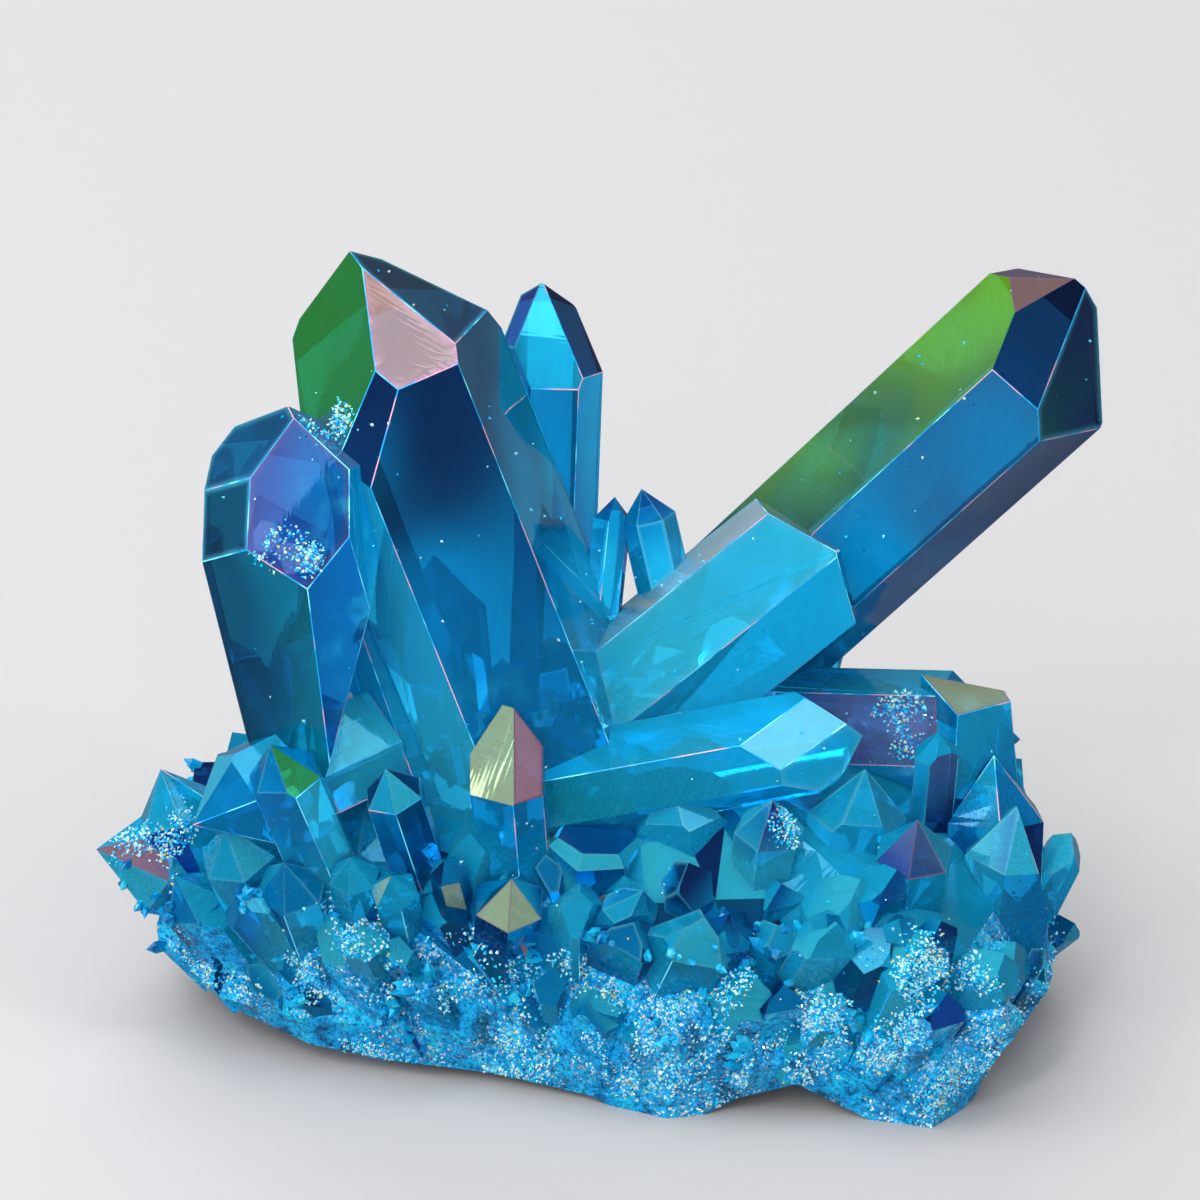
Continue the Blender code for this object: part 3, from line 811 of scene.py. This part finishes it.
def surface_at(right, up):
    """The place on the crystals that is seen there."""
    return surface.ray_cast(EYE, (seen(right, up) - EYE).normalized())[0]


frosted = [(surface_at(*place), radius * MM) for _, place, radius in FROSTED]
patches = [(surface_at(*place), radius * MM) for _, place, radius in PATCHES] + frosted
print(len(patches), "patches of sugar")

# %% Growing the sugar
SUGAR_COUNT = 16000
SUGAR_FACING = -0.3
PATCH_EDGE = 1.6
BAND_TOP = 9.0 * MM
BAND_SHARE = 0.9
STRAY = 0.0007
CLUMP_SIZE = 3.5 * MM
CLUMP_CONTRAST = 4.6
CLUMP_GAPS = 2.0


def clumps(place, shift):
    """Smooth noise from 0 to 1, whose features are as large as a clump."""
    return 0.5 + 0.5 * noise.noise(place * (1.0 / CLUMP_SIZE) + shift)


def sugar_wanted(place, normal, _):
    """How likely a grain of sugar is at a place, whatever the area of the facet there."""
    if normal.z < SUGAR_FACING:
        return 0.0
    likely = (1.0 - place.z / BAND_TOP) * BAND_SHARE
    for middle, radius in patches:
        likely = max(likely, PATCH_EDGE - (place - middle).length / radius)
    broken = CLUMP_CONTRAST * clumps(place, Vector()) - CLUMP_GAPS
    return max(STRAY, max(0.0, min(1.0, likely)) * broken)


sugar_places = scattered(SUGAR_COUNT, sugar_wanted, SEED + 1)
sugar = grown(
    "sugar_druse",
    grain,
    sugar_places,
    length=(0.10, 0.30),
    width=(0.8, 1.2),
    lean=0.8,
    seed=SEED + 2,
)

# %% Growing the fine points
POINT_COUNT = 420
POINT_FACING = -0.2
POINT_TOP = 15.0 * MM
POINT_FACET = 1.5 * MM * MM
SMOOTH_FLANK = 26.0 * MM
POINT_CONTRAST = 1.8
POINT_GAPS = 0.6
POINT_FADE = 24.0 * MM
OTHER_CLUMPS = Vector((7.0, 3.0, 1.0))


def points_wanted(place, normal, area):
    """How likely a small blue crystal is at a place: in rough low parts, never on a large facet."""
    if normal.z < POINT_FACING or place.z > POINT_TOP:
        return 0.0
    if area > POINT_FACET or place.x > SMOOTH_FLANK:
        return 0.0
    rough = POINT_CONTRAST * clumps(place, OTHER_CLUMPS) - POINT_GAPS
    return max(0.0, rough) * (1.0 - place.z / POINT_FADE)


point_places = scattered(POINT_COUNT, points_wanted, SEED + 3)
fine_points = grown(
    "fine_points",
    small_point,
    point_places,
    length=(0.8, 1.7),
    width=(0.4, 0.6),
    lean=0.45,
    seed=SEED + 4,
    sunk=0.3,
)
for shape in (small_point, grain):
    bpy.data.objects.remove(shape)

# %% [markdown]
# ## Node trees
#
# A finish is a small tree of nodes that ends in one Principled shader. The same few steps come up in
# all of them: noise of a known size, a number taken from one range into another, a mix of two
# colours, and a bump. Each is a short helper here. They read Object coordinates, which are metres, so
# every grain keeps its real size, and a value that is the same all over is set on the shader itself.

# %% A small kit for node trees
WHITE = (1.0, 1.0, 1.0)


def opened(material):
    """A material's node tree and its Principled shader."""
    material.use_nodes = True
    return material.node_tree, material.node_tree.nodes["Principled BSDF"]


def feed(tree, made, values):
    """Links each socket, or sets each plain value, to the node's input of that name or number."""
    for name, value in values.items():
        if isinstance(value, bpy.types.NodeSocket):
            tree.links.new(value, made.inputs[name])
        else:
            made.inputs[name].default_value = value


def node(tree, kind, inputs=None, **settings):
    """A shader node of this kind, with its properties set and its inputs fed."""
    made = tree.nodes.new("ShaderNode" + kind)
    for key, value in settings.items():
        setattr(made, key, value)
    feed(tree, made, inputs or {})
    return made


def opaque(value):
    """A colour with full alpha; a socket stays as it is."""
    return (*value, 1.0) if isinstance(value, tuple) else value


def mixed(tree, factor, first, second, blend="MIX"):
    """A colour between first and second, each a socket or a colour."""
    mix = node(tree, "Mix", data_type="RGBA", blend_type=blend)
    feed(tree, mix, {0: factor, 6: opaque(first), 7: opaque(second)})
    return mix.outputs[2]


def ranged(tree, value, from_low, from_high, to_low=0.0, to_high=1.0):
    """value, taken from one range into another, with soft ends."""
    made = node(tree, "MapRange", {"Value": value}, interpolation_type="SMOOTHSTEP")
    feed(tree, made, {"From Min": from_low, "From Max": from_high, "To Min": to_low, "To Max": to_high})
    return made.outputs["Result"]


def reckoned(tree, operation, first, second):
    """Two numbers joined by a Math node; each is a socket or a value."""
    return node(tree, "Math", {0: first, 1: second}, operation=operation).outputs[0]


def grained(tree, size, detail=2.0, roughness=0.5):
    """Noise whose features are size metres across."""
    made = node(tree, "TexNoise", {"Scale": 1.0 / size, "Detail": detail, "Roughness": roughness})
    feed(tree, made, {"Vector": node(tree, "TexCoord").outputs["Object"]})
    return made.outputs["Fac"]


def bumped(tree, shader, height, strength, depth, normal=None):
    """Raises a shader's surface by a height of up to depth metres, on a normal that may be tipped."""
    relief = node(tree, "Bump", {"Height": height, "Strength": strength, "Distance": depth})
    if normal is not None:
        feed(tree, relief, {"Normal": normal})
    feed(tree, shader, {"Normal": relief.outputs["Normal"]})


# %% [markdown]
# ## The crystal
#
# Quartz lets light through, bends it and, filmed blue, swallows some red on the way, so thick parts
# are deeper blue: plain transmission round an absorbing volume. The film tints both what passes and
# what is mirrored, and a small metallic share lets some facets mirror more than glass would. Veils,
# the healed cracks inside, are paler wisps that gather towards the foot, and their pale cyan is also
# a painted glow for the light that fills the foot. Lines follow the way that the crystal grew, and
# some facets have a patch that the druse has frosted.

# %% Lines of growth, and frosted patches
LINE_ROUGHNESS = 0.55
FROST_LIMIT = 3.0
FROST_RAGGED = 0.4


def streaked(tree, across, along, detail):
    """Noise drawn out into lines: its features are across wide and along long, in millimetres."""
    place = node(tree, "UVMap", uv_map="grain").outputs["UV"]
    drawn = node(tree, "Mapping", {"Vector": place, "Scale": (1.0 / across, 1.0 / along, 1.0)})
    made = node(tree, "TexNoise", {"Scale": 1.0, "Detail": detail, "Roughness": LINE_ROUGHNESS})
    feed(tree, made, {"Vector": drawn.outputs["Vector"]})
    return made.outputs["Fac"]


def frosting(tree, ragged):
    """1 on the frosted patches, with edges as ragged as the noise, and 0 away from them."""
    place = node(tree, "TexCoord").outputs["Object"]
    nearest = FROST_LIMIT
    for middle, radius in frosted:
        away = node(tree, "VectorMath", {0: place, 1: middle}, operation="DISTANCE")
        radii = reckoned(tree, "DIVIDE", away.outputs["Value"], radius)
        nearest = reckoned(tree, "MINIMUM", nearest, radii)
    torn = ranged(tree, ragged, 0.3, 0.7, -FROST_RAGGED, FROST_RAGGED)
    return ranged(tree, reckoned(tree, "ADD", nearest, torn), 1.0, 0.7)


print(len(frosted), "frosted patches")

# %% The crystal material
TRANSMISSION = 0.76
QUARTZ_IOR = 1.55
MIRROR_LEVEL = 0.35
TINT_PALENESS = 0.35
ABSORPTION = 30.0
PASSED_LIGHT = shade(84, 188, 232)
BROAD_SIZE = 9.0 * MM
WISP_SIZE = 3.0 * MM
GROWTH_LINE = (0.35, 5.0)
GROWTH_STEP = (3.0, 0.3)
STEP_HEIGHT = 0.007
FACET_RELIEF = 0.3 * MM
LIT = (1.6, 1.6, 1.6)
RIM_STRENGTH = 0.75
FROST_PALENESS = 0.5
FROST_MIRROR = 0.45
FROST_ROUGHNESS = 0.22


def film_colour(tree, broad, wisps):
    """The film: from top to foot colour, with growth lines, a rim, and a pale veil with a painted glow
    towards the foot.
    """
    top = node(tree, "Attribute", attribute_name="film_top").outputs["Color"]
    foot = node(tree, "Attribute", attribute_name="film_foot").outputs["Color"]
    along = node(tree, "Attribute", attribute_name="along").outputs["Fac"]
    rim = node(tree, "Attribute", attribute_name="film_rim").outputs
    depth = reckoned(tree, "ADD", along, ranged(tree, broad, 0.25, 0.75, -0.14, 0.14))
    # Top colour to foot colour: the darkest tops are painted shade, and the bright feet are partly a
    # painted glow.
    colour = mixed(tree, ranged(tree, depth, 0.12, 0.95), top, foot)
    lines = ranged(tree, streaked(tree, *GROWTH_LINE, detail=1.0), 0.35, 0.75, 0.0, 0.18)
    colour = mixed(tree, lines, colour, mixed(tree, 1.0, colour, LIT, "MULTIPLY"))
    edge = reckoned(tree, "POWER", rim["Alpha"], 2.0)
    colour = mixed(tree, reckoned(tree, "MULTIPLY", edge, RIM_STRENGTH), colour, rim["Color"])
    # Pale cyan wisps towards the foot: real veils, and a painted glow.
    towards_foot = ranged(tree, along, 0.45, 1.1, 0.0, 0.5)
    veils = reckoned(tree, "MULTIPLY", ranged(tree, wisps, 0.48, 0.75), towards_foot)
    return mixed(tree, veils, colour, BRIGHT_CYAN)


def crystal_material(material):
    """Blue-filmed rock crystal, with its facets' own colours."""
    tree, shader = opened(material)
    broad = grained(tree, BROAD_SIZE, 0.0)
    wisps = grained(tree, WISP_SIZE, 2.0, 0.62)
    frost = frosting(tree, wisps)
    paled = reckoned(tree, "MULTIPLY", frost, FROST_PALENESS)
    colour = mixed(tree, paled, film_colour(tree, broad, wisps), LILAC)
    film_mirror = node(tree, "Attribute", attribute_name="film_top").outputs["Alpha"]
    frost_mirror = reckoned(tree, "MULTIPLY", frost, FROST_MIRROR)
    gloss = ranged(tree, wisps, 0.35, 0.8, 0.02, 0.08)
    frost_gloss = reckoned(tree, "MULTIPLY", frost, FROST_ROUGHNESS)
    finish = {
        "Base Color": colour,
        "Specular Tint": mixed(tree, TINT_PALENESS, colour, WHITE),
        "Metallic": reckoned(tree, "MAXIMUM", film_mirror, frost_mirror),
        "Roughness": reckoned(tree, "MAXIMUM", gloss, frost_gloss),
        "IOR": QUARTZ_IOR,
        "Specular IOR Level": MIRROR_LEVEL,
        "Transmission Weight": TRANSMISSION,
    }
    feed(tree, shader, finish)
    steps = reckoned(tree, "MULTIPLY", streaked(tree, *GROWTH_STEP, detail=0.0), STEP_HEIGHT)
    bumped(tree, shader, reckoned(tree, "ADD", broad, steps), 1.0, FACET_RELIEF)
    absorb = node(tree, "VolumeAbsorption", {"Color": opaque(PASSED_LIGHT), "Density": ABSORPTION})
    feed(tree, tree.nodes["Material Output"], {"Volume": absorb.outputs["Volume"]})


crystal_material(crystals.data.materials[CRYSTAL])
print("crystal:", len(crystals.data.materials[CRYSTAL].node_tree.nodes), "nodes")

# %% [markdown]
# ## The worn ridges
#
# A worn ridge is too narrow to look into. It shows as a line of film, blue for most of its length,
# with stretches of pale cyan and rose that are painted highlights, where the edge catches the light.

# %% The ridge material
RIDGE_HIGHLIGHT_STRETCH = 4.0 * MM
RIDGE_WEAR = 0.5 * MM
RIDGE_MIRROR = 0.2


def ridge_material(material):
    """A hairline, blue with stretches of pale cyan and rose as painted highlights."""
    tree, shader = opened(material)
    where = grained(tree, RIDGE_HIGHLIGHT_STRETCH, 1.0)
    # Stretches of rose and pale cyan along the ridge: painted highlights.
    colour = mixed(tree, ranged(tree, where, 0.52, 0.62), MID_BLUE, ROSE)
    colour = mixed(tree, ranged(tree, where, 0.46, 0.36), colour, PALE_CYAN)
    worn = ranged(tree, grained(tree, RIDGE_WEAR), 0.3, 0.7, 0.15, 0.5)
    feed(tree, shader, {"Base Color": colour, "Roughness": worn, "Metallic": RIDGE_MIRROR})


ridge_material(crystals.data.materials[RIDGE])
print("ridge:", len(crystals.data.materials[RIDGE].node_tree.nodes), "nodes")

# %% [markdown]
# ## Crust and rock
#
# The crust is made of crystals too small to model one by one, so it isn't seen through. It is
# mottled blue and cyan, with painted shade in its finest hollows, and it glitters: in every tiny cell
# of it the normal is tipped another way, so that a few cells mirror a light and the rest don't, and in
# patches some cells are painted near-white as painted glints. The rock underneath is dull grey-brown
# with a bluish stain.

# %% The crust material
MOTTLE_SIZE = 2.6 * MM
CRUST_GRAIN = 0.45 * MM
CRUST_CELL = 0.17 * MM
CRUST_TIP = 0.6
PAINTED_GLINT_PATCH = 4.0 * MM
CRUST_MIRROR = 0.25
CRUST_RELIEF = 0.2 * MM


def glinting(tree, spacing, tilt):
    """The surface's normal, tipped another way in every cell, and the cells' own numbers."""
    place = node(tree, "TexCoord").outputs["Object"]
    cells = node(tree, "TexVoronoi", {"Vector": place, "Scale": 1.0 / spacing}).outputs["Color"]
    spread = {0: cells, 1: (2.0 * tilt,) * 3, 2: (-tilt,) * 3}
    tipped = node(tree, "VectorMath", spread, operation="MULTIPLY_ADD").outputs[0]
    facing = node(tree, "NewGeometry").outputs["Normal"]
    total = node(tree, "VectorMath", {0: facing, 1: tipped}, operation="ADD").outputs[0]
    return node(tree, "VectorMath", {0: total}, operation="NORMALIZE").outputs[0], cells


def crust_material(material):
    """Crystal crust: cyan and blue mottling over a granular surface, with painted shade in its hollows
    and painted glints.
    """
    tree, shader = opened(material)
    mottles = grained(tree, MOTTLE_SIZE, 4.0, 0.6)
    colour = mixed(tree, ranged(tree, mottles, 0.35, 0.5), OCEAN, MID_BLUE)
    colour = mixed(tree, ranged(tree, mottles, 0.48, 0.65), colour, SEA)
    fine = grained(tree, CRUST_GRAIN, 3.0)
    # NAVY where the fine relief is low: painted shade in the hollows.
    colour = mixed(tree, ranged(tree, fine, 0.48, 0.3, 0.0, 0.7), colour, NAVY)
    tipped, cells = glinting(tree, CRUST_CELL, CRUST_TIP)
    # Near-white cells in patches: painted glints.
    patchy = ranged(tree, grained(tree, PAINTED_GLINT_PATCH), 0.43, 0.62, 0.0, 0.9)
    painted_glints = reckoned(tree, "MULTIPLY", ranged(tree, cells, 0.66, 0.8), patchy)
    colour = mixed(tree, painted_glints, colour, ICE)
    worn = ranged(tree, fine, 0.3, 0.7, 0.12, 0.5)
    feed(tree, shader, {"Base Color": colour, "Roughness": worn, "Metallic": CRUST_MIRROR})
    bumped(tree, shader, fine, 0.7, CRUST_RELIEF, tipped)


crust_material(crystals.data.materials[CRUST])
print("crust:", len(crystals.data.materials[CRUST].node_tree.nodes), "nodes")

# %% The rock material
LUMP_SIZE = 3.0 * MM
STAIN_SIZE = 2.5 * MM
ROCK_GRAIN = 0.7 * MM
ROCK_RELIEF = 0.3 * MM
DARK_ROCK = shade(70, 78, 80)
PALE_ROCK = shade(132, 134, 126)


def rock_material(material):
    """Grey-brown rock with a bluish stain."""
    tree, shader = opened(material)
    lumps = grained(tree, LUMP_SIZE, 5.0, 0.6)
    colour = mixed(tree, ranged(tree, lumps, 0.3, 0.7), DARK_ROCK, PALE_ROCK)
    stain = ranged(tree, grained(tree, STAIN_SIZE, 4.0), 0.4, 0.6, 0.0, 0.8)
    colour = mixed(tree, stain, colour, OCEAN)
    feed(tree, shader, {"Base Color": colour, "Roughness": ranged(tree, lumps, 0.3, 0.7, 0.55, 0.85)})
    bumped(tree, shader, grained(tree, ROCK_GRAIN, 5.0, 0.65), 0.9, ROCK_RELIEF)


rock_material(crystals.data.materials[ROCK])
print("rock:", len(crystals.data.materials[ROCK].node_tree.nodes), "nodes")

# %% [markdown]
# ## Sugar and fine points
#
# Every copy carries a number from 0 to 1, its tint, and a ramp with hard steps turns it into one of
# a few film colours, as each grain has a film of its own thickness. Sugar is bright and half
# mirrored, so that it sparkles. The fine points are clear and blue like the large crystals.

# %% Their materials
SUGAR_FILMS = (
    (0.0, ICE),
    (0.3, CYAN),
    (0.5, MID_BLUE),
    (0.72, PALE_CYAN),
    (0.86, STRAW),
    (0.93, LILAC),
    (0.96, GOLD),
)
POINT_FILMS = ((0.0, MID_BLUE), (0.25, CYAN), (0.5, SEA), (0.7, DEEP_BLUE), (0.93, BRIGHT_CYAN))
SUGAR_STAIN = 0.2 * MM
SUGAR_WEAR = 0.15 * MM
SUGAR_MIRROR = 0.4
POINT_STAIN = 0.8 * MM
POINT_WEAR = 0.5 * MM
POINT_TRANSMISSION = 0.5
POINT_MIRROR = 0.15


def ramped(tree, value, stops):
    """A colour that steps from stop to stop with value."""
    made = node(tree, "ValToRGB", {"Fac": value})
    made.color_ramp.interpolation = "CONSTANT"
    ramp = made.color_ramp.elements
    for element, (position, colour) in zip(ramp, (stops[0], stops[-1])):
        element.position = position
        element.color = opaque(colour)
    for position, colour in stops[1:-1]:
        ramp.new(position).color = opaque(colour)
    return made.outputs["Color"]


def sugar_material(material):
    """Druse that glints: mostly silver and cyan, some gold, pink and blue grains."""
    tree, shader = opened(material)
    tint = node(tree, "Attribute", attribute_name="tint").outputs["Fac"]
    stain = ranged(tree, grained(tree, SUGAR_STAIN, 1.0), 0.3, 0.7, 0.0, 0.35)
    colour = mixed(tree, stain, ramped(tree, tint, SUGAR_FILMS), SEA)
    worn = ranged(tree, grained(tree, SUGAR_WEAR, 1.0), 0.3, 0.7, 0.08, 0.3)
    feed(tree, shader, {"Base Color": colour, "Roughness": worn, "Metallic": SUGAR_MIRROR})


def fine_point_material(material):
    """Small clear crystals with the blue film."""
    tree, shader = opened(material)
    tint = node(tree, "Attribute", attribute_name="tint").outputs["Fac"]
    stain = ranged(tree, grained(tree, POINT_STAIN, 3.0), 0.35, 0.7, 0.0, 0.5)
    colour = mixed(tree, stain, ramped(tree, tint, POINT_FILMS), CYAN)
    finish = {
        "Base Color": colour,
        "Specular Tint": mixed(tree, TINT_PALENESS, colour, WHITE),
        "Roughness": ranged(tree, grained(tree, POINT_WEAR), 0.3, 0.7, 0.05, 0.2),
        "IOR": QUARTZ_IOR,
        "Transmission Weight": POINT_TRANSMISSION,
        "Metallic": POINT_MIRROR,
    }
    feed(tree, shader, finish)


for piece, finish in ((sugar, sugar_material), (fine_points, fine_point_material)):
    piece.data.materials.clear()
    piece.data.materials.append(bpy.data.materials.new(piece.name))
    finish(piece.data.materials[0])
    print(piece.name, len(piece.data.materials[0].node_tree.nodes), "nodes")

# %% [markdown]
# ## Handing over
#
# All three pieces are one specimen, so they ride on its one body. The imported solid is hidden, so
# that the dressed crystals are seen in its place, and it stays for physics.

# %% What each piece rides on, and the solid that is hidden
for piece in (crystals, sugar, fine_points):
    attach(piece, "root")
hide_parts("quartz_cluster")
print([material.name for material in crystals.data.materials])
